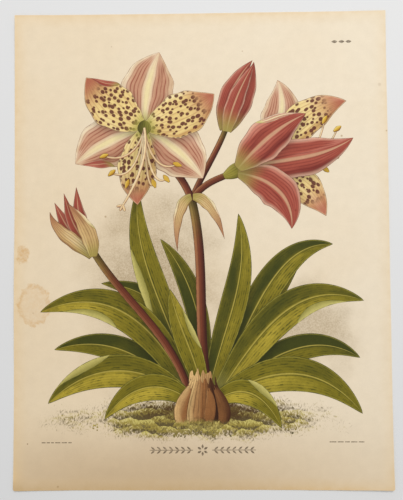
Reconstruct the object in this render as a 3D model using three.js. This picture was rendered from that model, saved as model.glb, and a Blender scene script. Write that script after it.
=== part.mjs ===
// An antique botanical print: one loose, unframed sheet of heavy printing paper,
// lying face up. The picture is ink in the paper's face, so the sheet is the only solid.
// Millimetres, +Z up. +Y points to the top of the picture, +X to its right-hand edge.
// The origin is the centre of the underside, on the surface that the sheet lies on.

import * as THREE from 'three';

// The sheet as trimmed for a large quarto album.
const sheetWidth = 240;
const sheetLength = 305;
const paperThickness = 0.3;

// Squares of about 10 mm are fine enough for bends as gentle as these.
const columns = 24;
const rows = 30;

// Each corner curls up a little, about a line that cuts across it at 45 degrees.
// side is the corner's sign in X and Y, rise is the lift at its tip, and reach is
// how far in from the tip the bend begins, measured square to that line.
const cornerCurls = [
  { side: [-1, 1], rise: 1.5, reach: 52 },
  { side: [1, 1], rise: 0.9, reach: 40 },
  { side: [1, -1], rise: 2.2, reach: 60 },
  { side: [-1, -1], rise: 1.1, reach: 44 },
];

// Old damp has cockled both long edges. side is the edge's sign in X, middle is the
// ripple's centre in Y, span its length along the edge and reach its width inwards.
const edgeRipples = [
  { side: -1, middle: -30, span: 120, reach: 36, rise: 0.8 },
  { side: 1, middle: 38, span: 150, reach: 30, rise: 0.6 },
];

const share = (value) => THREE.MathUtils.clamp(value, 0, 1);

// How far one curled corner lifts the paper at a point of the sheet.
function cornerLift({ side, rise, reach }, x, y) {
  const fromTip = (sheetWidth / 2 - side[0] * x + sheetLength / 2 - side[1] * y) / Math.SQRT2;
  return rise * share(1 - fromTip / reach) ** 2;
}

// How far one ripple lifts the paper at a point of the sheet.
function rippleLift({ side, middle, span, reach, rise }, x, y) {
  const inward = share(1 - (sheetWidth / 2 - side * x) / reach) ** 2;
  const offMiddle = share(Math.abs(y - middle) / (span / 2));
  return rise * inward * Math.cos((Math.PI / 2) * offMiddle) ** 2;
}

function lift(x, y) {
  const corners = cornerCurls.reduce((sum, curl) => sum + cornerLift(curl, x, y), 0);
  const ripples = edgeRipples.reduce((sum, ripple) => sum + rippleLift(ripple, x, y), 0);
  return corners + ripples;
}

// A thin slab cut into squares. Both faces follow the same lifts, so that the paper
// keeps its thickness, and the underside stays flat over the whole middle.
function sheetGeometry() {
  const slab = new THREE.BoxGeometry(sheetWidth, sheetLength, paperThickness, columns, rows, 1);
  const place = slab.getAttribute('position');
  for (let i = 0; i < place.count; i += 1) {
    const height = place.getZ(i) + paperThickness / 2;
    place.setZ(i, height + lift(place.getX(i), place.getY(i)));
  }
  slab.computeVertexNormals();
  return slab;
}

// Cream wove paper, matt and toned with age.
const agedPaper = new THREE.MeshStandardMaterial({ color: 0xe8d8b8, roughness: 0.9, metalness: 0 });

function sheet() {
  const mesh = new THREE.Mesh(sheetGeometry(), agedPaper);
  mesh.name = 'sheet';
  return mesh;
}

const print = new THREE.Group();
print.name = 'botanical_print';
print.add(sheet());

export default print;
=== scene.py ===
import math
import random
from dataclasses import dataclass

import bmesh
import bpy
import numpy as np
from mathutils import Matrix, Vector


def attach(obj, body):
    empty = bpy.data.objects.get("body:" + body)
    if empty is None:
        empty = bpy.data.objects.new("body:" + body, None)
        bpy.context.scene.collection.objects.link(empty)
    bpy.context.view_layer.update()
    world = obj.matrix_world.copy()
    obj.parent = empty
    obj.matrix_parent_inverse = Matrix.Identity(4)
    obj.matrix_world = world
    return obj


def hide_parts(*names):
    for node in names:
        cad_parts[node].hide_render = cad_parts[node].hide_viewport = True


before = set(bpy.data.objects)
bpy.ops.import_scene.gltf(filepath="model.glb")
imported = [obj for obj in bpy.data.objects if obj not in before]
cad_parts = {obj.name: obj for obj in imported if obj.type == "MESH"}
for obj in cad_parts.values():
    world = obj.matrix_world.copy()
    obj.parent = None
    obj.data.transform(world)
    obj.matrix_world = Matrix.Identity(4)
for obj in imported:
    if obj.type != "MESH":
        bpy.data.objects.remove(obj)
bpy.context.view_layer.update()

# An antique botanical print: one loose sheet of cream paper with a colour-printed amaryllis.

# Sizes are in millimetres, and the picture is drawn on the sheet's own X and Y.
MM = 0.001
SHEET_WIDTH = 240
SHEET_LENGTH = 305
PAPER_THICKNESS = 0.3

# The curls and ripples of the paper are the same as the CAD sheet's.
CORNER_CURLS = [
    dict(side=(-1, 1), rise=1.5, reach=52),
    dict(side=(1, 1), rise=0.9, reach=40),
    dict(side=(1, -1), rise=2.2, reach=60),
    dict(side=(-1, -1), rise=1.1, reach=44),
]
EDGE_RIPPLES = [
    dict(side=-1, middle=-30, span=120, reach=36, rise=0.8),
    dict(side=1, middle=38, span=150, reach=30, rise=0.6),
]

# Every random draw comes from here, so the picture is the same each time.
draw = random.Random(1873)


def lift(x, y):
    """How far the paper's underside stands above the table at a point of the sheet."""
    total = 0.0 * x
    for curl in CORNER_CURLS:
        from_tip = SHEET_WIDTH / 2 - curl["side"][0] * x + SHEET_LENGTH / 2 - curl["side"][1] * y
        total = total + curl["rise"] * np.clip(1 - from_tip / math.sqrt(2) / curl["reach"], 0, 1) ** 2
    for ripple in EDGE_RIPPLES:
        inward = np.clip(1 - (SHEET_WIDTH / 2 - ripple["side"] * x) / ripple["reach"], 0, 1) ** 2
        off_middle = np.clip(np.abs(y - ripple["middle"]) / (ripple["span"] / 2), 0, 1)
        total = total + ripple["rise"] * inward * np.cos(math.pi / 2 * off_middle) ** 2
    return total


def paper_top(x, y):
    return PAPER_THICKNESS + lift(x, y)


# The camera is fitted to the four corners of the sheet in the photograph.
LENS = 43.2
SENSOR = 36
CAMERA_PLACE = (6.1, -15.0, 383.3)
CAMERA_TILT = (2.07, 0.89, -0.44)


def make_camera():
    data = bpy.data.cameras.new("camera")
    data.lens = LENS
    data.sensor_width = SENSOR
    camera = bpy.data.objects.new("camera", data)
    camera.location = [part * MM for part in CAMERA_PLACE]
    camera.rotation_euler = [math.radians(turn) for turn in CAMERA_TILT]
    bpy.context.scene.collection.objects.link(camera)
    bpy.context.scene.camera = camera


make_camera()


# Building materials out of nodes
def for_shader(colour):
    """A colour read off a screen, from 0 to 255, as the numbers that a shader uses."""
    shares = [part / 255 for part in colour]
    return [part / 12.92 if part <= 0.04 else ((part + 0.055) / 1.055) ** 2.4 for part in shares] + [1]


class Tree:
    """Adds nodes to a node tree. Each input is a value, a screen colour or another node's output.

    The functions that build a material or a group call their tree t.
    """

    def __init__(self, tree):
        self.tree = tree

    def feed(self, socket, value):
        if isinstance(value, bpy.types.NodeSocket):
            self.tree.links.new(value, socket)
        elif socket.type == "RGBA":
            socket.default_value = for_shader(value)
        else:
            socket.default_value = value

    def add(self, kind, inputs=None, **settings):
        made = self.tree.nodes.new(kind)
        for name, value in settings.items():
            setattr(made, name, value)
        for key, value in (inputs or {}).items():
            self.feed(made.inputs[key], value)
        return made

    def group(self, tree, **inputs):
        made = self.tree.nodes.new("ShaderNodeGroup")
        made.node_tree = tree
        for name, value in inputs.items():
            self.feed(made.inputs[name], value)
        return made.outputs

    def maths(self, operation, *values, clamp=False):
        inputs = dict(enumerate(values))
        return self.add("ShaderNodeMath", inputs, operation=operation, use_clamp=clamp).outputs[0]

    def plus(self, *values):
        result = values[0]
        for value in values[1:]:
            result = self.maths("ADD", result, value)
        return result

    def minus(self, first, second):
        return self.maths("SUBTRACT", first, second)

    def swing(self, value, amount):
        """A value from 0 to 1 as a swing about nothing, half the amount to either side."""
        return self.times(self.minus(value, 0.5), amount)

    def times(self, *values):
        result = values[0]
        for value in values[1:]:
            result = self.maths("MULTIPLY", result, value)
        return result

    def ramp(self, value, start, end, low=0.0, high=1.0):
        """A smooth step from low at start to high at end."""
        inputs = {0: value, 1: start, 2: end, 3: low, 4: high}
        return self.add("ShaderNodeMapRange", inputs, interpolation_type="SMOOTHSTEP").outputs[0]

    def mix(self, share, first, second, blend="MIX"):
        inputs = {0: share, 6: first, 7: second}
        return self.add("ShaderNodeMix", inputs, data_type="RGBA", blend_type=blend).outputs[2]

    def noise(self, vector, scale, detail=2.0, roughness=0.5):
        inputs = {"Vector": vector, "Scale": scale, "Detail": detail, "Roughness": roughness}
        return self.add("ShaderNodeTexNoise", inputs).outputs[0]

    def voronoi(self, vector, scale):
        inputs = {"Vector": vector, "Scale": scale}
        return self.add("ShaderNodeTexVoronoi", inputs, voronoi_dimensions="2D").outputs

    def scatter(self, vector, scale):
        """Scattered points: the way to the nearest, and that point's own random number."""
        cells = self.voronoi(vector, scale)
        pick = self.add("ShaderNodeSeparateColor", {0: cells["Color"]}).outputs[0]
        return self.times(cells["Distance"], 1 / scale), pick

    def join(self, x, y, z=0.0):
        return self.add("ShaderNodeCombineXYZ", {0: x, 1: y, 2: z}).outputs[0]

    def grey(self, value):
        return self.join(value, value, value)

    def own(self, name):
        """A value stored on the piece's own points."""
        return self.add("ShaderNodeAttribute", attribute_name=name).outputs["Fac"]

    def owns(self, *names):
        return [self.own(name) for name in names]

    def place(self):
        """Object coordinates in millimetres: the whole vector, X and Y."""
        coordinates = self.add("ShaderNodeTexCoord").outputs["Object"]
        inputs = {0: coordinates, "Scale": 1 / MM}
        vector = self.add("ShaderNodeVectorMath", inputs, operation="SCALE").outputs[0]
        parts = self.add("ShaderNodeSeparateXYZ", {0: vector})
        return vector, parts.outputs[0], parts.outputs[1]

    def outward(self, x, y, centre, radii):
        """How far out a point lies, from 0 at the centre of an oval to 1 at its rim."""
        across = self.times(self.minus(x, centre[0]), 1 / radii[0])
        up = self.times(self.minus(y, centre[1]), 1 / radii[1])
        return self.maths("SQRT", self.plus(self.times(across, across), self.times(up, up)))


def new_group(name, inputs, outputs):
    """A node group with named sockets: its tree, what it is given, and what it puts out."""
    tree = bpy.data.node_groups.new(name, "ShaderNodeTree")
    for title, kind, default in inputs:
        socket = tree.interface.new_socket(title, in_out="INPUT", socket_type="NodeSocket" + kind)
        socket.default_value = default
    for title, kind in outputs:
        tree.interface.new_socket(title, in_out="OUTPUT", socket_type="NodeSocket" + kind)
    t = Tree(tree)
    return t, t.add("NodeGroupInput").outputs, t.add("NodeGroupOutput").inputs


CREAM = (236, 222, 198)
# This warm cream also carries painted shade, darker away from the light.
WARM_SHADED_CREAM = (231, 208, 172)
YELLOWED = (230, 198, 148)
BROWNED = (206, 176, 131)
# The toned foot also carries painted shade, darker towards the bottom.
TONED_SHADED_FOOT = (200, 173, 136)
STAIN = (212, 168, 108)
SPECK = (140, 112, 76)
FOXING = (168, 136, 94)

# Tide marks left by damp: centre, radii, and how much they stain at the rim and inside.
WATER_STAINS = [
    dict(centre=(-106.9, -35.4), radii=(10.2, 13.4), rim=0.54, inside=0.24),
    dict(centre=(-114.3, -3.1), radii=(3.6, 5.4), rim=0.10, inside=0.66),
]

# Single specks in the paper: centre, radius, and how dark each one is.
SPECKS = [
    dict(centre=(-111.0, -123.3), radius=0.5, depth=0.9),
    dict(centre=(115.4, 104.4), radius=1.3, depth=0.20),
    dict(centre=(-57.1, 131.2), radius=0.4, depth=0.5),
    dict(centre=(-107.6, -40.6), radius=0.5, depth=0.3),
]


def aged_paper_group():
    """Bare paper at any point of the sheet: its colour, and its fibres as a height."""
    t, _, out = new_group("AgedPaper", [], [("Color", "Color"), ("Height", "Float")])
    vector, x, y = t.place()
    broad = t.noise(vector, 0.018, 3)
    mottle = t.noise(vector, 0.16, 4)
    fibre = t.noise(vector, 1.4, 3)

    # The whole sheet is warmer and darker towards the lower left: part toning, part painted shade.
    tone_and_shade_slant = t.plus(t.times(x, -0.0024), t.times(y, -0.0010), 0.38)
    warmth_and_shade = t.maths("ADD", tone_and_shade_slant, t.swing(broad, 0.6), clamp=True)
    colour = t.mix(warmth_and_shade, CREAM, WARM_SHADED_CREAM)

    # The foot is browner and darker: part toning, part painted shade.
    to_foot = t.plus(y, SHEET_LENGTH / 2, t.swing(broad, 24.0))
    sideways = t.times(t.ramp(x, -120.0, -60.0, 0.74, 1.0), t.ramp(x, -30.0, 130.0, 1.0, 0.35))
    foot = t.times(t.ramp(to_foot, 0.0, 56.0, 0.88, 0.0), sideways)
    colour = t.mix(foot, colour, TONED_SHADED_FOOT)

    # All round the edges a narrow band has yellowed, and the foot's has turned brown.
    to_side = t.minus(SHEET_WIDTH / 2, t.maths("ABSOLUTE", x))
    to_end = t.minus(SHEET_LENGTH / 2, t.maths("ABSOLUTE", y))
    to_edge = t.maths("SMOOTH_MIN", to_side, to_end, 8.0)
    wavering = t.plus(t.swing(mottle, 5.0), to_edge)
    band = t.plus(t.ramp(wavering, -1.0, 3.0, 0.26, 0.0), t.ramp(wavering, 0.0, 10.0, 0.30, 0.0))
    band = t.times(band, t.ramp(x, 60.0, 120.0, 1.0, 0.6), t.ramp(y, -150.0, -130.0, 1.9, 1.0))
    along_foot = t.times(t.ramp(y, -151.0, -143.0, 1.0, 0.0), t.ramp(x, 0.0, 110.0, 1.0, 0.2))
    colour = t.mix(band, colour, t.mix(along_foot, YELLOWED, BROWNED))

    # The very rim is painted paler, a painted highlight where the cut edge catches the light, and damp has
    # left its marks.
    pale_rim_highlight = t.ramp(t.maths("MINIMUM", to_side, to_end), 0.25, 0.55, 0.35, 0.0)
    colour = t.mix(t.times(pale_rim_highlight, t.ramp(y, -150.0, -145.0)), colour, CREAM)
    scallops = t.swing(t.noise(vector, 0.22, 3, 0.6), 7.0)
    blotchy = t.ramp(t.noise(vector, 0.55, 3, 0.65), 0.3, 0.7, 0.45, 1.15)
    for stain in WATER_STAINS:
        outward = t.outward(x, y, stain["centre"], stain["radii"])
        past_rim = t.plus(t.times(t.minus(outward, 1.0), stain["radii"][0]), scallops)
        inside = t.ramp(past_rim, -1.0, 0.9, stain["inside"], 0.0)
        rim = t.ramp(past_rim, -4.2, -0.6, 0.0, stain["rim"])
        rim = t.times(rim, t.ramp(past_rim, -0.6, 0.8, 1.0, 0.0))
        colour = t.mix(t.times(t.maths("MAXIMUM", rim, inside), blotchy), colour, STAIN)
    for speck in SPECKS:
        outward = t.outward(x, y, speck["centre"], (speck["radius"], speck["radius"]))
        colour = t.mix(t.ramp(outward, 0.3, 1.2, speck["depth"], 0.0), colour, SPECK)

    # Foxing: a brown speck at about one in five of some scattered points
    away, pick = t.scatter(t.join(x, y), 0.033)
    radius = t.times(t.ramp(pick, 0.78, 1.0), 0.85)
    colour = t.mix(t.ramp(t.minus(away, radius), -0.5, 0.1, 0.6, 0.0), colour, FOXING)

    grain = t.plus(t.swing(mottle, 0.10), t.swing(fibre, 0.07), 1.0)
    colour = t.mix(1.0, colour, t.grey(grain), "MULTIPLY")
    t.feed(out["Color"], colour)
    t.feed(out["Height"], t.plus(fibre, t.times(mottle, 1.5)))
    return t.tree


AGED_PAPER = aged_paper_group()


def ink_on_paper_group():
    """Ink on the sheet: crayon grain breaks it up, and the paper's tone shows through."""
    t, given, out = new_group(
        "InkOnPaper",
        [("Ink", "Color", (0, 0, 0, 1)), ("Coverage", "Float", 1.0), ("Grain", "Float", 0.12)],
        [("Color", "Color"), ("Height", "Float")])
    paper = t.group(AGED_PAPER)
    vector, _, _ = t.place()
    crayon = t.minus(t.noise(vector, 1.1, 2, 0.7), 0.5)
    patchy = t.minus(t.noise(vector, 0.22, 3), 0.5)
    amount = t.times(given["Grain"], t.plus(crayon, t.times(patchy, 0.7)))
    ink = t.mix(1.0, given["Ink"], t.grey(t.plus(t.times(amount, 2.0), 1.0)), "MULTIPLY")
    tint = t.mix(0.7, (255, 255, 255), t.mix(1.0, paper["Color"], CREAM, "DIVIDE"))
    printed = t.mix(1.0, ink, tint, "MULTIPLY")
    t.feed(out["Color"], t.mix(given["Coverage"], paper["Color"], printed))
    t.feed(out["Height"], paper["Height"])
    return t.tree


def printed_ground_group():
    """The sheet's face behind the drawing: a grey tint, then moss on dark soil at the foot."""
    outputs = [("Color", "Color"), ("Strokes", "Float"), ("Height", "Float")]
    t, _, out = new_group("PrintedGround", [], outputs)
    paper = t.group(AGED_PAPER)
    vector, x, y = t.place()
    crayon = t.noise(vector, 1.1, 2, 0.7)
    broad = t.noise(vector, 0.05, 3)

    def oval(centre, radii):
        """How far out a point lies in an oval with an uneven rim."""
        return t.plus(t.outward(x, y, centre, radii), t.swing(broad, 0.9))

    grey = t.ramp(oval((-30, -24), (60, 84)), 0.15, 1.0, 0.9, 0.0)
    grey = t.maths("MAXIMUM", grey, t.ramp(oval((64, -52), (46, 40)), 0.2, 1.0, 0.7, 0.0))
    grey = t.times(grey, t.ramp(crayon, 0.25, 0.72, 0.45, 1.0))
    colour = t.mix(grey, paper["Color"], t.mix(1.0, paper["Color"], (186, 176, 156), "MULTIPLY"))

    # Cushions of moss lit from above, drawn in short strokes that thin out to bare paper
    sway = t.swing(t.noise(vector, 0.12, 2), 9.0)
    strokes = t.noise(t.join(t.times(t.plus(x, sway), 1.2), t.times(y, 0.5)), 1.0, 3, 0.6)
    uneven = t.minus(strokes, 0.5)
    bumpy = t.join(t.plus(x, sway), t.plus(t.times(y, 1.5), t.times(sway, 0.6)))
    cells = t.voronoi(bumpy, 0.13)
    middle = t.add("ShaderNodeSeparateXYZ", {0: cells["Position"]}).outputs[1]
    lit = t.plus(t.ramp(t.minus(t.times(y, 1.5), middle), -5.0, 5.0), t.times(uneven, 1.6))
    mossy = t.mix(t.ramp(lit, 0.1, 0.6), (84, 70, 24), (152, 134, 50))
    mossy = t.mix(t.ramp(lit, 0.6, 1.1), mossy, (204, 190, 104))
    cover = t.ramp(t.plus(oval((-2, -108), (88, 14)), t.times(uneven, 1.3)), 0.55, 1.0, 0.95, 0.0)
    colour = t.mix(cover, colour, mossy)
    soil = t.ramp(t.plus(oval((3, -103), (50, 9)), uneven), 0.4, 1.1, 0.95, 0.0)
    colour = t.mix(t.times(soil, t.ramp(crayon, 0.2, 0.7, 0.75, 1.0)), colour, (76, 50, 24))
    t.feed(out["Color"], colour)
    t.feed(out["Strokes"], uneven)
    t.feed(out["Height"], paper["Height"])
    return t.tree


def keyline_group():
    """The thin drawn outline just inside a shape's edge, a little uneven, as a mask."""
    t, given, out = new_group("Keyline", [("Width", "Float", 0.35)], [("Mask", "Float")])
    vector, _, _ = t.place()
    width = t.times(given["Width"], t.ramp(t.noise(vector, 0.3, 2), 0.3, 0.7, 0.5, 1.4))
    t.feed(out["Mask"], t.minus(1.0, t.ramp(t.own("edge"), t.times(width, 0.4), width)))
    return t.tree


def veins_group():
    """Fine lines that run the length of a shape, as a mask."""
    t, given, out = new_group(
        "Veins",
        [("Count", "Float", 6.0), ("Fineness", "Float", 0.3), ("Waver", "Float", 0.2)],
        [("Mask", "Float")])
    across, along, seed = t.owns("across", "along", "seed")
    drift = t.minus(t.noise(t.join(t.times(across, 1.5), t.times(along, 3.0), seed), 1.0, 2), 0.5)
    position = t.plus(t.times(across, given["Count"]), t.times(given["Waver"], drift, 8.0), seed)
    line = t.ramp(t.maths("PINGPONG", position, 0.5), 0.0, given["Fineness"], 1.0, 0.0)
    patchy = t.noise(t.join(t.times(across, 9.0), t.times(along, 5.0), seed), 1.0, 2)
    t.feed(out["Mask"], t.times(line, t.ramp(patchy, 0.3, 0.6, 0.35, 1.0)))
    return t.tree


# Printed ink is smoother than the paper: its roughness and its specular level.
INK_GLOSS = (0.72, 0.2)

INK_ON_PAPER = ink_on_paper_group()
PRINTED_GROUND = printed_ground_group()
KEYLINE = keyline_group()
VEINS = veins_group()


def new_material(name, roughness=0.88, specular=0.3):
    """A material with its shader's inputs and the tree that feeds them."""
    material = bpy.data.materials.new(name)
    material.use_nodes = True
    shader = material.node_tree.nodes["Principled BSDF"].inputs
    shader["Roughness"].default_value = roughness
    shader["Specular IOR Level"].default_value = specular
    return material, Tree(material.node_tree), shader


def paper_surface(t, shader, colour, height, strength=0.25):
    inputs = {"Strength": strength, "Distance": 0.05 * MM, "Height": height}
    t.feed(shader["Base Color"], colour)
    t.feed(shader["Normal"], t.add("ShaderNodeBump", inputs).outputs[0])


def ink_surface(t, shader, ink, coverage=1.0, grain=0.14):
    printed = t.group(INK_ON_PAPER, Ink=ink, Coverage=coverage, Grain=grain)
    paper_surface(t, shader, printed["Color"], printed["Height"], 0.15)


def three_tones(t, light, dark, middle, pale):
    """Modelling in three printed tones, from shadow to highlight."""
    colour = t.mix(t.ramp(light, 0.08, 0.52), dark, middle)
    return t.mix(t.ramp(light, 0.5, 0.95), colour, pale)


def veined(t, colour, line, strength, count, fineness=0.3, waver=0.05):
    """Draws fine lines along a shape."""
    veins = t.group(VEINS, Count=count, Fineness=fineness, Waver=waver)["Mask"]
    return t.mix(t.times(veins, strength), colour, line)


def outlined(t, colour, line, strength=0.75, width=0.42):
    """Draws the outline of a shape."""
    return t.mix(t.times(t.group(KEYLINE, Width=width)["Mask"], strength), colour, line)


def shadowed(t, colour, strength):
    """Darkens a colour where a shape printed over this one throws its shadow."""
    return t.mix(1.0, colour, t.grey(t.minus(1.0, t.times(t.own("shade"), strength))), "MULTIPLY")


def printed_ink(name, mixed, shade=0.5, grain=0.12):
    """A material in one ink, whose colour is mixed by the function that it is given."""
    material, t, shader = new_material(name, *INK_GLOSS)
    ink_surface(t, shader, shadowed(t, mixed(t), shade), grain=grain)
    return material


def leaf_colour(t):
    across, along, edge, light = t.owns("across", "along", "edge", "light")
    side, run, seed = t.owns("side", "run", "seed")
    off_middle = t.maths("ABSOLUTE", across)
    wash = t.noise(t.join(t.times(side, 0.10), t.times(run, 0.035), seed), 1.0, 2)
    toned = t.plus(light, t.swing(wash, 0.5), t.own("tone"))
    colour = three_tones(t, toned, (62, 66, 16), (127, 116, 28), (190, 170, 60))
    # Fine veins, thickened into darker dashes here and there
    colour = veined(t, colour, (66, 68, 16), 0.4, 6.0, 0.2, 0.03)
    patch = t.noise(t.join(t.times(side, 0.6), t.times(run, 0.2), t.times(seed, 3.0)), 1.0, 3)
    dashes = t.ramp(patch, 0.50, 0.60, 0.0, 0.75)
    colour = veined(t, colour, (58, 62, 14), dashes, 6.0, 0.5, 0.03)
    # Pale midrib with its groove in shadow, and a pale rim inside the outline
    colour = t.mix(t.ramp(off_middle, 0.02, 0.06, 0.75, 0.0), colour, (186, 170, 80))
    groove = t.ramp(t.maths("ABSOLUTE", t.minus(across, 0.085)), 0.0, 0.05, 0.6, 0.0)
    colour = t.mix(groove, colour, (52, 60, 18))
    colour = t.mix(t.ramp(edge, 0.45, 1.0, 0.5, 0.0), colour, (172, 162, 72))
    colour = outlined(t, colour, (50, 56, 16), 0.85, 0.5)
    return t.mix(t.ramp(along, 0.0, 0.14, 0.45, 0.0), colour, (178, 168, 90))


def leaf_back_colour(t):
    """The greyer, paler underside that shows where a leaf turns over."""
    light = t.own("light")
    colour = three_tones(t, light, (104, 104, 46), (156, 148, 74), (200, 190, 112))
    colour = veined(t, colour, (104, 110, 54), 0.35, 3.0, 0.25, 0.03)
    return outlined(t, colour, (60, 66, 26), 0.8, 0.45)


def stem_colour(t):
    along, light = t.owns("along", "light")
    colour = three_tones(t, light, (66, 30, 22), (116, 58, 38), (172, 116, 78))
    green = t.mix(t.ramp(light, 0.2, 0.9), (88, 82, 30), (164, 150, 76))
    colour = t.mix(t.ramp(along, 0.72, 1.0, 0.0, 0.75), colour, green)
    colour = veined(t, colour, (72, 34, 24), 0.4, 2.0)
    return outlined(t, colour, (50, 24, 18), 0.8, 0.4)


def folded_light(t, depth):
    """The light on a shape, with soft ridges and hollows that run its length."""
    light, tone, side, run, seed = t.owns("light", "tone", "side", "run", "seed")
    ridge = t.noise(t.join(t.times(side, 0.22), t.times(run, 0.02), seed), 1.0, 2)
    return t.plus(light, tone, t.swing(ridge, depth))


def spots(t, scale, size):
    """Round blotches in the shape's own millimetres, each of its own size, as a mask."""
    side, run, seed = t.owns("side", "run", "seed")
    away, pick = t.scatter(t.join(side, t.plus(t.times(run, 0.8), t.times(seed, 50.0))), scale)
    radius = t.times(t.ramp(pick, 0.0, 1.0, 0.5, 1.0), size)
    return t.ramp(t.minus(away, radius), -0.15, 0.25, 1.0, 0.0)


def striped_petal_colour(t):
    """Blush cream with a pale star stripe down the middle and rose veins beside it."""
    across, along = t.owns("across", "along")
    light = folded_light(t, 0.9)
    off_middle = t.maths("ABSOLUTE", across)
    colour = three_tones(t, light, (200, 160, 122), (232, 208, 172), (248, 236, 206))
    band = t.times(t.ramp(off_middle, 0.10, 0.30), t.ramp(off_middle, 0.62, 0.98, 1.0, 0.0))
    band = t.times(band, t.ramp(along, 0.04, 0.2), t.ramp(along, 0.78, 1.0, 1.0, 0.35))
    rose = three_tones(t, light, (128, 52, 36), (176, 90, 66), (212, 138, 108))
    colour = t.mix(t.times(band, 0.62), colour, rose)
    colour = veined(t, colour, (138, 54, 40), t.plus(t.times(band, 0.55), 0.22), 7.0, 0.3, 0.06)
    star = t.times(t.ramp(off_middle, 0.03, 0.16, 1.0, 0.0), t.ramp(along, 0.55, 0.95, 1.0, 0.0))
    colour = t.mix(t.times(star, 0.7), colour, (240, 226, 168))
    colour = t.mix(t.ramp(along, 0.05, 0.24, 0.75, 0.0), colour, (196, 190, 96))
    return outlined(t, colour, (132, 74, 62))


def spotted_petal_colour(t):
    """Cream yellow, thick with maroon spots towards the throat, and rose at the tip."""
    along, edge = t.owns("along", "edge")
    light = folded_light(t, 0.9)
    colour = three_tones(t, light, (200, 156, 92), (238, 212, 142), (248, 232, 178))
    rose = three_tones(t, light, (130, 54, 44), (174, 88, 72), (212, 136, 116))
    colour = t.mix(t.ramp(along, 0.52, 0.96, 0.0, 0.9), colour, rose)
    colour = veined(t, colour, (150, 74, 60), 0.4, 5.0, 0.26, 0.05)
    dots = t.times(spots(t, 0.34, 1.25), t.ramp(along, 0.70, 0.86, 1.0, 0.0), t.ramp(along, 0.02, 0.1))
    colour = t.mix(t.times(dots, 0.92), colour, (92, 34, 32))
    colour = t.mix(t.ramp(along, 0.04, 0.2, 0.7, 0.0), colour, (178, 176, 78))
    colour = t.mix(t.ramp(edge, 0.4, 1.0, 0.4, 0.0), colour, (246, 228, 176))
    return outlined(t, colour, (118, 62, 48))


def rose_petal_colour(t):
    """The outside of a petal: rose maroon with dark veins and a paler margin."""
    across, along = t.owns("across", "along")
    light = folded_light(t, 1.0)
    off_middle = t.maths("ABSOLUTE", across)
    colour = three_tones(t, light, (112, 40, 34), (166, 80, 64), (212, 138, 118))
    colour = veined(t, colour, (108, 36, 32), 0.6, 6.0, 0.32, 0.05)
    colour = t.mix(t.ramp(off_middle, 0.04, 0.14, 0.55, 0.0), colour, (226, 190, 150))
    colour = t.mix(t.ramp(off_middle, 0.72, 1.0, 0.0, 0.6), colour, (232, 196, 168))
    colour = t.mix(t.ramp(along, 0.0, 0.36, 0.85, 0.0), colour, (160, 152, 78))
    return outlined(t, colour, (104, 44, 40))


def plain_ink(name, dark, middle, pale, line, lines):
    """An ink in three tones, with a few lines along the shape and its outline."""

    def mixed(t):
        light = folded_light(t, 0.6)
        colour = three_tones(t, light, dark, middle, pale)
        colour = veined(t, colour, line, lines, 3.0, 0.3, 0.08)
        return outlined(t, colour, line, 0.75, 0.36)

    return printed_ink(name, mixed)


def bract_colour(t):
    """Papery sheaths: green at the foot, straw in the middle, and withered rose at the tip."""
    along = t.own("along")
    light = folded_light(t, 0.9)
    colour = three_tones(t, light, (142, 98, 60), (212, 180, 124), (246, 230, 188))
    green = three_tones(t, light, (104, 98, 38), (168, 156, 78), (214, 204, 130))
    withered = three_tones(t, light, (116, 62, 44), (178, 116, 86), (222, 172, 136))
    colour = t.mix(t.ramp(along, 0.0, 0.4, 0.9, 0.0), colour, green)
    colour = t.mix(t.ramp(along, 0.45, 1.0, 0.0, 0.85), colour, withered)
    colour = veined(t, colour, (122, 76, 48), 0.55, 3.0)
    return outlined(t, colour, (100, 58, 40), 0.75, 0.4)


def bulb_ink():
    """Brown papery coats, with the moss drawn up over the foot of the bulb."""
    material, t, shader = new_material("bulb_ink", *INK_GLOSS)
    light = folded_light(t, 0.6)
    colour = three_tones(t, light, (70, 38, 20), (152, 102, 58), (230, 192, 132))
    colour = veined(t, colour, (80, 44, 24), 0.55, 6.0, 0.3, 0.08)
    colour = outlined(t, colour, (70, 38, 22))
    printed = t.group(INK_ON_PAPER, Ink=shadowed(t, colour, 0.5), Coverage=1.0, Grain=0.24)
    ground = t.group(PRINTED_GROUND)
    _, x, y = t.place()
    sunk = t.plus(y, t.times(ground["Strokes"], 9.0), t.times(t.maths("ABSOLUTE", x), 0.12))
    buried = t.ramp(sunk, -110.0, -106.5, 1.0, 0.0)
    colour = t.mix(buried, printed["Color"], ground["Color"])
    paper_surface(t, shader, colour, printed["Height"], 0.15)
    return material


def moss_ink():
    material, t, shader = new_material("moss_ink", *INK_GLOSS)
    tone = t.own("tone")
    colour = t.mix(t.ramp(tone, 0.0, 0.5), (72, 64, 18), (136, 122, 40))
    colour = t.mix(t.ramp(tone, 0.5, 1.0), colour, (204, 188, 98))
    ink_surface(t, shader, colour, coverage=0.9, grain=0.2)
    return material


def ornament_ink():
    material, t, shader = new_material("ornament_ink", *INK_GLOSS)
    vector, _, _ = t.place()
    worn = t.ramp(t.noise(vector, 1.0, 2), 0.25, 0.6, 0.6, 0.95)
    ink_surface(t, shader, (118, 104, 86), coverage=worn, grain=0.1)
    return material


def sheet_face():
    """The front of the sheet, with its soft tints printed straight on the paper."""
    material, t, shader = new_material("aged_paper_face")
    ground = t.group(PRINTED_GROUND)
    paper_surface(t, shader, ground["Color"], ground["Height"])
    return material


def sheet_back():
    """The blank back: browner and more mottled than the face."""
    material, t, shader = new_material("aged_paper_back")
    paper = t.group(AGED_PAPER)
    vector, _, _ = t.place()
    mottle = t.noise(vector, 0.03, 4, 0.6)
    colour = t.mix(t.ramp(mottle, 0.3, 0.75, 0.1, 0.45), paper["Color"], (206, 176, 128))
    paper_surface(t, shader, colour, paper["Height"])
    return material


# Drawing: the light in the picture comes from the upper left.
LIGHT_FROM = (-0.62, 0.78)


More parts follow.
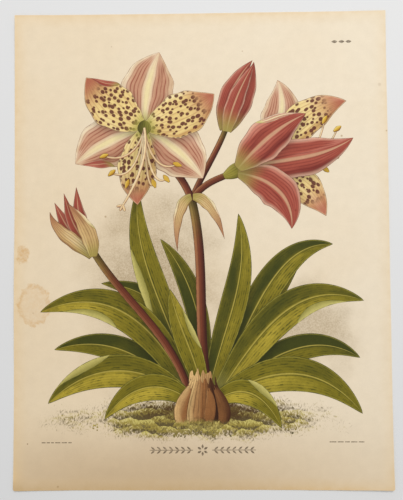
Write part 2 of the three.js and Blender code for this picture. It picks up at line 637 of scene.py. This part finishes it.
def compass(degrees):
    """A step of one millimetre in a given direction."""
    turn = math.radians(degrees)
    return np.array([math.cos(turn), math.sin(turn)])


def straight(start, stop):
    return [start + (stop - start) * share for share in (0, 1 / 3, 2 / 3, 1)]


def bezier(corners, along):
    """Points of a cubic curve, with the direction it runs in at each."""
    a, b, c, d = [np.array(corner, float) for corner in corners]
    t = along[:, None]
    place = (1 - t) ** 3 * a + 3 * (1 - t) ** 2 * t * b + 3 * (1 - t) * t ** 2 * c + t ** 3 * d
    heading = 3 * (1 - t) ** 2 * (b - a) + 6 * (1 - t) * t * (c - b) + 3 * t ** 2 * (d - c)
    return place, heading / np.linalg.norm(heading, axis=1)[:, None]


@dataclass(eq=False)
class Blade:
    """A leaf, petal or stem: a strip along a curve, widest part way, drawn in one ink."""

    ink: str
    spine: list
    half: float
    # Outline: its width at the foot and the tip as shares of the widest, where along it is widest,
    # how pointed it is past that, and the ruffle of its edges.
    foot: float = 0.3
    end: float = 0.0
    widest: float = 0.5
    blunt: float = 0.8
    wave: float = 0.0
    waves: float = 3.0
    # Modelling: where its light comes from, how round it is across, how deep its middle lies,
    # how much it arches along its length, and how much lighter it is than others in its ink.
    glow: tuple = LIGHT_FROM
    roll: float = 0.5
    trough: float = 0.0
    bend: float = 0.0
    tone: float = 0.0
    # How deeply its tip is torn, and into how many teeth on each side
    torn: float = 0.0
    teeth: float = 2.5
    # The squares it is cut into, and whether it throws shade on what lies under it
    rows: int = 40
    columns: int = 10
    throws: bool = True

    # An end wider than this share has no outline, as if it lay this many millimetres further off.
    BLUNT_END = 0.5
    OFF = 99
    # How near to its outline a tip may be
    AT_TIP = 0.15

    def __post_init__(self):
        self.seed = draw.uniform(0, 10)
        self.steps = np.linspace(0, 1, 200)
        points, _ = bezier(self.spine, self.steps)
        lengths = np.linalg.norm(np.diff(points, axis=0), axis=1)
        self.runs = np.concatenate([[0], np.cumsum(lengths)])

    def half_width(self, across, along):
        rising = self.foot + (1 - self.foot) * np.sin(math.pi / 2 * np.clip(along / self.widest, 0, 1))
        past = np.clip((along - self.widest) / (1 - self.widest), 0, 1)
        falling = self.end + (1 - self.end) * np.cos(math.pi / 2 * past) ** self.blunt
        width = self.half * np.where(along < self.widest, rising, falling)
        ruffle = np.sin(self.waves * 2 * math.pi * along + self.seed + np.where(across < 0, 0, 2))
        return np.maximum(width * (1 + self.wave * ruffle * np.sin(math.pi * along)), 0.06)

    def lay(self, across, along):
        """Where each point of the strip lies on the sheet."""
        saw = np.abs((across * self.teeth + self.seed) % 1 * 2 - 1)
        notch = self.torn * (0.6 * saw + 0.4 * np.abs(np.sin(across * 7 + self.seed)))
        along = along - notch * along ** 2
        place, heading = bezier(self.spine, along)
        to_right = np.stack([heading[:, 1], -heading[:, 0]], axis=1)
        aside = across * self.half_width(across, along)
        return place + to_right * aside[:, None]

    def facts(self, across, along):
        """The values that its ink reads at each point."""
        _, heading = bezier(self.spine, along)
        to_right = np.stack([heading[:, 1], -heading[:, 0]], axis=1)
        width = self.half_width(across, along)
        run = np.interp(along, self.steps, self.runs)
        slope = self.roll * across - self.trough * np.tanh(across * 5)
        light = 0.5 + 0.5 * slope * (to_right @ self.glow)
        light = light + 0.5 * self.bend * (2 * along - 1) * (heading @ self.glow)
        to_foot = run + (self.OFF if self.foot > self.BLUNT_END else 0)
        to_tip = self.runs[-1] - run + (self.OFF if self.end > self.BLUNT_END else 0)
        edge = np.minimum(width * (1 - np.abs(across)), np.minimum(to_foot, to_tip) + self.AT_TIP)
        return dict(across=across, along=along, light=np.clip(light, 0, 1), side=across * width, run=run,
                    edge=edge, seed=0 * along + self.seed, tone=0 * along + self.tone)


@dataclass(eq=False)
class TurnedEdge:
    """The strip of a blade's margin that curls over and shows its other side."""

    ink: str
    blade: Blade
    hand: int
    start: float
    stop: float
    depth: float
    light: float = 0.75
    rows: int = 24
    columns: int = 4
    throws: bool = False

    # The length that its ink's patterns are drawn to
    LENGTH = 40

    def __post_init__(self):
        self.seed = draw.uniform(0, 10)

    def turn(self, along):
        """How much of the blade's half width is turned over, next to nothing at both ends."""
        return self.depth * np.maximum(np.sin(math.pi * along), 0.006) ** 0.7

    def on_blade(self, across, along):
        """The parent blade's own coordinates at a point of the turned strip."""
        inward = self.turn(along) * (0.5 - 0.5 * across * self.hand)
        return self.hand * (1.0 - inward), self.start + (self.stop - self.start) * along

    def lay(self, across, along):
        return self.blade.lay(*self.on_blade(across, along))

    def facts(self, across, along):
        on_across, on_along = self.on_blade(across, along)
        deep = self.blade.half_width(on_across, on_along) * self.turn(along)
        return dict(across=across, along=along, light=self.light + 0.25 * across * self.hand,
                    side=across * deep / 2, run=along * self.LENGTH,
                    edge=deep * (1 - np.abs(across)) / 2 + 0.12,
                    seed=0 * along + self.seed, tone=0 * along)


def soften(grid, reach):
    """A box blur, three times over, in both directions."""
    for _ in range(3):
        for axis in (0, 1):
            margins = [(reach, reach) if a == axis else (0, 0) for a in (0, 1)]
            sums = np.cumsum(np.pad(grid, margins), axis=axis)
            count = grid.shape[axis]
            start = np.take(sums, range(count), axis=axis)
            stop = np.take(sums, range(2 * reach, count + 2 * reach), axis=axis)
            grid = (stop - start) / (2 * reach)
    return grid


class Picture:
    """Every printed shape, in the order of printing, and what lies over what."""

    # The sheet is mapped in cells of this size, and shade is blurred over this many of them.
    CELL = 0.5
    SHADE_REACH = 5

    def __init__(self):
        self.shapes = []
        self.size = (int(SHEET_WIDTH / self.CELL), int(SHEET_LENGTH / self.CELL))

    def add(self, piece, shape):
        shape.piece = piece
        self.shapes.append(shape)
        return shape

    def cells(self, points):
        column = ((points[:, 0] + SHEET_WIDTH / 2) / self.CELL).astype(int)
        row = ((points[:, 1] + SHEET_LENGTH / 2) / self.CELL).astype(int)
        return np.clip(column, 0, self.size[0] - 1), np.clip(row, 0, self.size[1] - 1)

    def covered(self, shape):
        """Which cells of the sheet a shape covers, as two lists of numbers."""
        steps = np.linspace(0, 1, 40 + 6 * shape.rows)
        sides = np.linspace(-1, 1, 8 + 6 * shape.columns)
        across, along = [a.ravel() for a in np.meshgrid(sides, steps)]
        return self.cells(shape.lay(across, along))

    def settle(self):
        """Gives each shape its level, and the shade thrown on it by those above."""
        covers = [self.covered(shape) for shape in self.shapes]
        levels = np.zeros(self.size, int)
        for shape, cover in zip(self.shapes, covers):
            shape.level = levels[cover].max() + 1
            levels[cover] = shape.level
        above = np.zeros(self.size)
        shade_map = np.zeros(self.size)
        for shape, cover in reversed(list(zip(self.shapes, covers))):
            shape.shade_map = shade_map
            if shape.throws:
                above[cover] = 1.0
                shade_map = soften(above, self.SHADE_REACH)


picture = Picture()

# What the shapes of one kind have in common
LEAF = dict(foot=0.42, widest=0.48, blunt=0.76, roll=0.30, trough=0.62, bend=0.34, rows=70, columns=16)
STALK = dict(foot=0.95, widest=0.3, blunt=0.5, roll=1.1, glow=(-0.95, 0.3), columns=8)
COAT = dict(foot=0.5, widest=0.45, blunt=0.95, roll=0.36, glow=(-0.9, 0.4), teeth=1.3, columns=16)
PETAL = dict(foot=0.24, blunt=0.92, trough=0.25, roll=0.8, wave=0.04, waves=3.5, rows=48, columns=16)
BRACT = dict(foot=0.6, widest=0.3, blunt=1.0, wave=0.07)
FILAMENT = dict(half=0.75, foot=0.9, end=0.6, widest=0.4, blunt=0.4, roll=0.9, rows=24, columns=4)
ANTHER = dict(half=1.6, foot=0.35, blunt=0.55, roll=0.9, rows=12, columns=6)
ANTHER_REACH = 3.1


def strap_leaf(spine, half, tone=0.0):
    """A broad leaf from the neck of the bulb."""
    return picture.add("leaves", Blade("leaf", spine, half, tone=tone, **LEAF))


def turned(leaf, hand, start, stop, depth, ink="leaf_back", piece="leaf_backs", light=0.75):
    return picture.add(piece, TurnedEdge(ink, leaf, hand, start, stop, depth, light))


def stalk(spine, half, rows=30):
    picture.add("stems", Blade("stem", spine, half, end=0.85, rows=rows, **STALK))


def petal(ink, spine, half, **more):
    return picture.add("petals", Blade(ink, spine, half, **(PETAL | more)))


def stamen(foot, knee, tip, lean):
    """A filament that droops from a bloom's heart and turns up, with its anther across its tip."""
    bow = ((knee[0] + 2 * tip[0]) / 3, knee[1])
    picture.add("stamens", Blade("filament", [foot, knee, bow, tip], **FILAMENT))
    reach = ANTHER_REACH * compass(lean)
    picture.add("stamens", Blade("anther", [tip - reach, tip, tip, tip + reach], **ANTHER))


def mark(piece, ink, spine, half, **more):
    """A small mark, which throws no shade on what lies under it."""
    picture.add(piece, Blade(ink, spine, half, throws=False, **more))


# Leaves and stems at the back, the furthest ones darkest
strap_leaf([(0, -92), (4, -46), (-8, -16), (-26, 6)], 7.0, -0.30)
strap_leaf([(8, -94), (26, -54), (42, -34), (66, -2)], 8.0, -0.30)
strap_leaf([(-4, -92), (-12, -52), (-26, -24), (-64, -22)], 8.0, -0.28)
strap_leaf([(8, -92), (34, -40), (48, 4), (84, 2)], 9.5, -0.14)
back_left = strap_leaf([(-6, -92), (-20, -40), (-46, -8), (-40, 40)], 9.0, -0.12)
turned(back_left, -1, 0.34, 0.72, 0.55)
strap_leaf([(4, -92), (14, -48), (32, -20), (24, 22)], 8.5, -0.10)
strap_leaf([(-9, -95), (-36, -66), (-62, -54), (-94, -64)], 8.5, -0.26)
arching_left = strap_leaf([(-8, -93), (-30, -44), (-62, -22), (-103, -40)], 11.0, 0.0)
turned(arching_left, -1, 0.5, 0.9, 0.5)
strap_leaf([(10, -95), (44, -66), (72, -52), (100, -70)], 8.5, -0.24)
arching_right = strap_leaf([(10, -93), (36, -54), (60, -18), (103, -34)], 11.0, 0.0)
turned(arching_right, 1, 0.55, 0.93, 0.55)
stalk([(-8, -92), (-20, -52), (-50, -34), (-70, 0)], 2.5, rows=60)
stalk([(4, -92), (-4, -50), (4, -10), (-6, 32)], 3.1, rows=60)

# Leaves in front
low_left = strap_leaf([(-9, -96), (-36, -72), (-70, -70), (-98, -98)], 10.5, 0.05)
turned(low_left, 1, 0.55, 0.92, 0.6)
low_right = strap_leaf([(10, -96), (40, -76), (74, -70), (101, -105)], 11.0, 0.05)
young = strap_leaf([(0, -94), (-2, -70), (-16, -50), (-20, -26)], 7.5, 0.02)
turned(young, 1, 0.4, 0.8, 0.5)
front_right = strap_leaf([(7, -98), (22, -86), (38, -88), (50, -114)], 8.0, 0.10)
turned(front_right, -1, 0.45, 0.85, 0.6)
strap_leaf([(-6, -98), (-22, -84), (-44, -82), (-62, -108)], 8.5, 0.10)

# Bulb: a round body in brown papery coats, each torn at its rim, round a paler neck
NECK = dict(half=7.6, tone=0.34, end=0.8, torn=0.35, teeth=1.7)
BODY = dict(half=17.5, foot=0.72, end=0.42, widest=0.38, blunt=1.8, roll=1.5, torn=0.20, teeth=2.4, rows=60,
            columns=40)
bulb_coats = [
    dict(NECK, spine=[(0, -96), (-1, -88), (-1, -82), (-1, -75)]),
    dict(BODY, spine=[(0, -116), (0, -106), (0, -97), (1, -78)]),
    dict(spine=[(-9, -116), (-18, -107), (-13, -97), (-6, -85)], half=4.2, tone=0.20, end=0.2, torn=0.14),
    dict(spine=[(9, -116), (18, -107), (13, -97), (7, -86)], half=4.0, tone=-0.22, end=0.2, torn=0.14),
    dict(spine=[(1, -117), (5, -108), (7, -98), (3, -86)], half=3.6, tone=-0.02, end=0.2, torn=0.16),
]
for coat in bulb_coats:
    picture.add("bulb", Blade("bulb", **(COAT | coat)))

# Young flower head still in its sheath
young_buds = [
    dict(base=(-70, -3), tip=(-94, 30), half=4.6),
    dict(base=(-69, -2), tip=(-80, 40), half=4.6),
    dict(base=(-70, -2), tip=(-88, 36), half=4.0),
]
for bud in young_buds:
    base, tip = bud["base"], bud["tip"]
    lean = ((base[0] + tip[0]) / 2 - 4, (base[1] + tip[1]) / 2)
    petal("rose", [base, lean, lean, tip], bud["half"], foot=0.5, widest=0.45)
SHEATH = dict(foot=0.45, wave=0.05)
far_spine = [(-70, -5), (-80, 6), (-94, 10), (-97, 24)]
near_spine = [(-69, -5), (-70, 8), (-74, 16), (-86, 30)]
petal("bract", far_spine, 4.6, widest=0.36, blunt=0.95, **SHEATH)
near_sheath = petal("bract", near_spine, 5.4, widest=0.38, **SHEATH)
turned(near_sheath, 1, 0.45, 0.95, 0.5, "bract", "petals", 0.85)

# Bud that stands up between the two blooms
stalk([(-6, 31), (0, 46), (10, 60), (17, 78)], 2.0)
petal("rose", [(16, 76), (14, 92), (22, 108), (34, 121)], 6.6, foot=0.5, widest=0.45)
petal("rose", [(17, 76), (26, 88), (32, 104), (35, 120)], 6.4, foot=0.5, widest=0.45)
petal("rose", [(17, 75), (20, 90), (26, 104), (35, 119)], 5.6, foot=0.55, widest=0.4)

# Bloom on the right, seen from the side
stalk([(-6, 31), (2, 42), (10, 44), (20, 48)], 2.2)
petal("green", [(15, 46), (22, 49), (27, 52), (36, 57)], 4.8, foot=0.4, widest=0.4, end=0.5, wave=0, rows=20)
petal("striped", [(40, 56), (52, 76), (56, 92), (50, 108)], 12.5)
petal("spotted", [(42, 58), (58, 76), (74, 92), (94, 94)], 11.5)
petal("spotted", [(40, 54), (58, 46), (72, 38), (80, 20)], 11.0)
for number, tip in enumerate([(80, 82), (88, 76), (90, 67), (86, 58), (80, 50)]):
    stamen((44, 57), (60, 52 + 2 * number), tip, 60 - 25 * number)
petal("rose", [(24, 50), (48, 58), (74, 54), (98, 70)], 12.5, widest=0.52)
petal("rose", [(24, 48), (40, 46), (60, 36), (58, 12)], 12.0, widest=0.52)
near = petal("rose", [(24, 51), (34, 62), (46, 76), (68, 86)], 12.5, widest=0.52)
turned(near, -1, 0.55, 0.96, 0.4, "striped", "petals")

# Large open bloom on the left
stalk([(-6, 31), (-10, 44), (-18, 52), (-28, 62)], 2.4, rows=60)
HEART = np.array([-36.0, 78.0])
PETAL_LENGTH = 50

# How far out each point of an open petal's curve is, and how much of the sway it has
PETAL_CURVE = [(0.02, 0), (0.35, 0.4), (0.7, 0.3), (1.0, -0.5)]


def open_petal(ink, degrees, half, sway):
    """One petal of the open bloom, out from its heart and swaying to one side."""
    out = compass(degrees) * PETAL_LENGTH
    aside = compass(degrees + 90) * sway
    return petal(ink, [HEART + out * share + aside * bow for share, bow in PETAL_CURVE], half)


open_petal("striped", 82, 17.0, 6)
outer_left = open_petal("striped", 204, 16.5, -6)
turned(outer_left, -1, 0.55, 0.96, 0.5, "rose", "petals", 0.6)
open_petal("striped", 322, 17.0, 6)
open_petal("spotted", 22, 14.5, -6)
inner_left = open_petal("spotted", 142, 14.5, 6)
turned(inner_left, 1, 0.6, 0.97, 0.5, "rose", "petals", 0.6)
open_petal("spotted", 262, 12.5, -5)
throat = [HEART + (0, up) for up in (-5, -2, 1, 5)]
picture.add("petals", Blade("throat", throat, 4.4, blunt=0.5, roll=-0.9, rows=14))

# Its stamens, each with a tip and the way that its anther leans, then the style in three lobes
open_stamens = [((-62, 60), 20), ((-57, 49), 40), ((-47, 42), 70)]
open_stamens += [((-30, 42), 110), ((-22, 45), 130), ((-15, 54), 160)]
for tip, lean in open_stamens:
    knee = (HEART[0] + (tip[0] - HEART[0]) * 0.2, tip[1] - 3)
    stamen(HEART + (0, -1), knee, tip, lean)
STYLE_TIP = HEART + (-14, -50)
style = [HEART, HEART + (3, -18), HEART + (-4, -34), STYLE_TIP]
picture.add("stamens", Blade("filament", style, **(FILAMENT | dict(half=0.9, end=0.7))))
LOBE = dict(half=0.9, foot=0.7, end=0.5, blunt=0.5, roll=0.9, rows=8, columns=4)
for degrees in (190, 240, 290):
    lobe = straight(STYLE_TIP, STYLE_TIP + 4 * compass(degrees))
    picture.add("stamens", Blade("filament", lobe, **LOBE))

# Papery bracts where the stalks part
left_bract = petal("bract", [(-6, 33), (-13, 31), (-17, 18), (-15, -2)], 3.6, **BRACT)
turned(left_bract, 1, 0.2, 0.75, 0.5, "bract", "petals", 0.85)
right_bract = petal("bract", [(-5, 33), (3, 33), (10, 24), (15, 6)], 3.6, **BRACT)
turned(right_bract, -1, 0.25, 0.8, 0.5, "bract", "petals", 0.85)


# Moss and grass round the bulb
def tuft(x, y, length, degrees, half, tone):
    out = compass(degrees) * length
    bow = np.array([-out[1], out[0]]) * draw.uniform(-0.25, 0.25)
    start = np.array([x, y])
    spine = [start, start + out * 0.35 + bow, start + out * 0.7 + bow, start + out]
    mark("moss", "moss", spine, half, foot=0.4, widest=0.4, roll=0.4, tone=tone, rows=4, columns=2)


def cushion(x, y, reach, strokes, tone):
    """A cushion of moss: short strokes that fan upwards, light on top and dark below."""
    for _ in range(strokes):
        out, up = draw.gauss(0, 0.45), draw.gauss(0, 0.35)
        degrees = 90 - out * 70 + draw.gauss(0, 26)
        shade = tone + 0.4 * up + draw.uniform(-0.16, 0.16)
        length = reach * draw.uniform(0.3, 0.6)
        tuft(x + out * reach, y + up * reach, length, degrees, draw.uniform(0.32, 0.6), shade)


def moss_bank(count, centre, spread, reach, strokes, tone):
    """Cushions scattered in an oval, thickest at its centre, the nearer ones drawn last."""
    places = []
    while len(places) < count:
        out, up = draw.gauss(0, 0.5), draw.gauss(0, 0.5)
        if out * out + up * up < 1:
            places.append((centre[0] + out * spread[0], centre[1] + up * spread[1], 1 - abs(out)))
    for x, y, near in sorted(places, key=lambda place: -place[1]):
        size = 0.6 + 0.4 * near
        cushion(x, y, reach * size, int(strokes * size), tone + draw.uniform(-0.1, 0.1))


moss_bank(24, (0, -114.5), (70, 3.5), 4.0, 14, 0.5)


# Ornaments under and beside the picture
def small_leaf(x, y, length, degrees, half):
    start = np.array([x, y])
    spine = straight(start, start + compass(degrees) * length)
    mark("ornaments", "ornament", spine, half, foot=0.1, blunt=0.9, rows=8, columns=4)


def rule(left, right, y, half):
    spine = [(left, y), (left + 1, y), (right - 1, y), (right, y)]
    mark("ornaments", "ornament", spine, half, foot=0.999, end=0.999, blunt=0.1, rows=16, columns=2)


# A leafy rule under the picture, with a rosette in its middle
CAPTION_Y = -127.5
CAPTION_HALF = 33.5
rule(-CAPTION_HALF, -6, CAPTION_Y, 0.22)
rule(6, CAPTION_HALF, CAPTION_Y, 0.22)
for step in range(7):
    out = 7.5 + step * 3.8
    for hand in (-1, 1):
        for up in (-1, 1):
            small_leaf(hand * out, CAPTION_Y + up * 0.3, 3.0, 90 - hand * 90 + hand * up * 38, 0.55)
for degrees in (30, 90, 150, 210, 270, 330):
    x, y = compass(degrees) + (0, CAPTION_Y)
    small_leaf(x, y, 2.6, degrees, 0.7)

# Broken rules at the foot of the picture, and three small leaves at the upper right
BROKEN_RULE_Y = -122.6
LEAF_ROW_Y = 132.6
for left, right in [(-102, -81), (80, 102)]:
    x = left
    while x < right - 2:
        stop = min(x + draw.uniform(1.6, 4.4), right)
        rule(x, stop, BROKEN_RULE_Y, 0.3)
        x = stop + 0.8
for x in (87, 91.5, 96):
    small_leaf(x - 1.9, LEAF_ROW_Y, 3.8, 0, 0.95)

picture.settle()

# The shapes become films of ink. This is how thick a film is, how far one level is above the
# last, how far a shape's shade falls to its side, and which values every point keeps.
FILM = 0.008
STEP = 0.012
SHADE_SHIFT = 1.6
VALUES = ("across", "along", "edge", "light", "shade", "side", "run", "seed", "tone")


def new_piece(name, bm, materials):
    mesh = bpy.data.meshes.new(name)
    bm.to_mesh(mesh)
    bm.free()
    for material in materials:
        mesh.materials.append(material)
    piece = bpy.data.objects.new(name, mesh)
    bpy.context.scene.collection.objects.link(piece)
    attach(piece, "root")
    return piece


def add_film(bm, layers, shape, material_index):
    """Warps a grid of squares to a shape's place, and keeps the shape's values on its points."""
    made = bmesh.ops.create_grid(bm, x_segments=shape.columns, y_segments=shape.rows, size=0.5)["verts"]
    across = np.array([v.co.x for v in made]) * 2
    along = np.array([v.co.y for v in made]) + 0.5
    points = shape.lay(across, along)
    values = shape.facts(across, along)
    values["shade"] = shape.shade_map[picture.cells(points + np.array(LIGHT_FROM) * SHADE_SHIFT)]
    heights = paper_top(points[:, 0], points[:, 1]) + shape.level * STEP + FILM
    for i, vert in enumerate(made):
        vert.co = (points[i, 0] * MM, points[i, 1] * MM, heights[i] * MM)
        for name in VALUES:
            vert[layers[name]] = float(values[name][i])
    for face in {face for vert in made for face in vert.link_faces}:
        face.smooth = True
        face.material_index = material_index


def crisp_rims(bm):
    """Keeps a thin sheet's faces from shading round its cut edges."""
    bm.normal_update()
    for edge in bm.edges:
        upward = [face.normal.z for face in edge.link_faces]
        edge.smooth = abs(upward[0] - upward[-1]) < 0.6


def print_piece(name):
    """One printed part of the picture, as one mesh with a material for each of its inks."""
    shapes = [shape for shape in picture.shapes if shape.piece == name]
    bm = bmesh.new()
    layers = {value: bm.verts.layers.float.new(value) for value in VALUES}
    inks = sorted({shape.ink for shape in shapes})
    for shape in shapes:
        add_film(bm, layers, shape, inks.index(shape.ink))
    bmesh.ops.solidify(bm, geom=bm.faces[:], thickness=FILM * MM)
    crisp_rims(bm)
    new_piece(name + "_print", bm, [INKS[ink] for ink in inks])


INKS = dict(
    leaf=printed_ink("leaf_ink", leaf_colour, 0.62, 0.22),
    leaf_back=printed_ink("leaf_back_ink", leaf_back_colour, 0.55, 0.18),
    stem=printed_ink("stem_ink", stem_colour, 0.55, 0.18),
    striped=printed_ink("striped_petal_ink", striped_petal_colour, grain=0.1),
    spotted=printed_ink("spotted_petal_ink", spotted_petal_colour, grain=0.1),
    rose=printed_ink("rose_petal_ink", rose_petal_colour),
    bract=printed_ink("bract_ink", bract_colour),
    filament=plain_ink("filament_ink", (190, 130, 100), (236, 208, 160), (248, 236, 200),
                       (120, 64, 50), 0.0),
    anther=plain_ink("anther_ink", (150, 100, 30), (216, 174, 62), (244, 216, 120),
                     (96, 54, 22), 0.2),
    throat=plain_ink("throat_ink", (64, 60, 20), (110, 108, 40), (160, 154, 70),
                     (60, 30, 24), 0.4),
    green=plain_ink("green_tube_ink", (92, 88, 28), (150, 140, 56), (200, 188, 104),
                    (74, 70, 22), 0.4),
    moss=moss_ink(),
    ornament=ornament_ink(),
    bulb=bulb_ink(),
)

for name in ["leaves", "leaf_backs", "stems", "bulb", "petals", "stamens", "moss", "ornaments"]:
    print_piece(name)


# Sheet: the squares it is cut into, how much each corner is worn off, and how far the trimmed
# edges fall short and wander
SQUARE = 2
CORNER_WEAR = {(-1, 1): 0.5, (1, 1): 0.4, (1, -1): 1.1, (-1, -1): 1.3}
TRIM, WANDER, NICKS = 0.10, 0.06, 0.03


def trimmed(x, y):
    """How far the hand-cut edges fall short of a true rectangle, as shares to shrink x and y by."""
    short_x = TRIM + WANDER * math.sin(y * 0.045 + 1.0 * (x > 0)) + NICKS * math.sin(y * 0.31 + x)
    short_y = TRIM + WANDER * math.sin(x * 0.060 + 2.0 * (y > 0)) + NICKS * math.sin(x * 0.27 + y)
    return 1 - short_x / (SHEET_WIDTH / 2), 1 - short_y / (SHEET_LENGTH / 2)


def make_sheet():
    bm = bmesh.new()
    squares = dict(x_segments=SHEET_WIDTH // SQUARE, y_segments=SHEET_LENGTH // SQUARE)
    bmesh.ops.create_grid(bm, **squares, size=0.5)
    for vert in bm.verts:
        vert.co.x *= SHEET_WIDTH
        vert.co.y *= SHEET_LENGTH
    corners = [vert for vert in bm.verts if len(vert.link_edges) == 2]
    for vert in corners:
        hand = (1 if vert.co.x > 0 else -1, 1 if vert.co.y > 0 else -1)
        bmesh.ops.bevel(bm, geom=[vert], offset=CORNER_WEAR[hand], offset_type="OFFSET", segments=4,
                        profile=0.5, affect="VERTICES", material=-1)
    for vert in bm.verts:
        shrink_x, shrink_y = trimmed(vert.co.x, vert.co.y)
        x = vert.co.x * shrink_x
        y = vert.co.y * shrink_y
        vert.co = (x * MM, y * MM, float(paper_top(x, y)) * MM)
    bmesh.ops.solidify(bm, geom=bm.faces[:], thickness=PAPER_THICKNESS * MM)
    crisp_rims(bm)
    for face in bm.faces:
        face.smooth = True
        face.material_index = 1 if face.normal.z < -0.5 else 0
    piece = new_piece("sheet_paper", bm, [sheet_face(), sheet_back()])
    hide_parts("sheet")


make_sheet()


# Surroundings
FLOOR_HALF = 2.0
FLOOR_GAP = 0.1 * MM
WINDOW_PLACE = (0.20, 0.48, 1.12)
WINDOW_AIM = (0, 0.02, 0)
WINDOW_SIZE = 0.6
WINDOW_POWER = 10.7
WINDOW_COLOUR = (1.0, 0.985, 0.96)
ROOM_COLOUR = (0.95, 0.97, 1.0)
ROOM_STRENGTH = 0.40


def make_floor():
    bm = bmesh.new()
    bmesh.ops.create_grid(bm, x_segments=1, y_segments=1, size=FLOOR_HALF)
    bmesh.ops.translate(bm, verts=bm.verts, vec=(0, 0, -FLOOR_GAP))
    mesh = bpy.data.meshes.new("floor")
    bm.to_mesh(mesh)
    bm.free()
    material, _, shader = new_material("pale_floor", 0.9)
    shader["Base Color"].default_value = for_shader((226, 226, 226))
    mesh.materials.append(material)
    floor = bpy.data.objects.new("floor", mesh)
    bpy.context.scene.collection.objects.link(floor)


def make_window():
    """One soft lamp, beyond the top edge of the sheet and a little to the right."""
    data = bpy.data.lights.new("window", "AREA")
    data.size = WINDOW_SIZE
    data.energy = WINDOW_POWER
    data.color = WINDOW_COLOUR
    lamp = bpy.data.objects.new("window", data)
    lamp.location = WINDOW_PLACE
    lamp.rotation_euler = (Vector(WINDOW_AIM) - Vector(WINDOW_PLACE)).to_track_quat("-Z", "Y").to_euler()
    bpy.context.scene.collection.objects.link(lamp)


def make_room():
    """Even light from all round."""
    world = bpy.data.worlds.new("room")
    world.use_nodes = True
    background = world.node_tree.nodes["Background"].inputs
    background[0].default_value = (*ROOM_COLOUR, 1)
    background[1].default_value = ROOM_STRENGTH
    bpy.context.scene.world = world
    bpy.context.scene.view_settings.view_transform = "Standard"


make_floor()
make_window()
make_room()
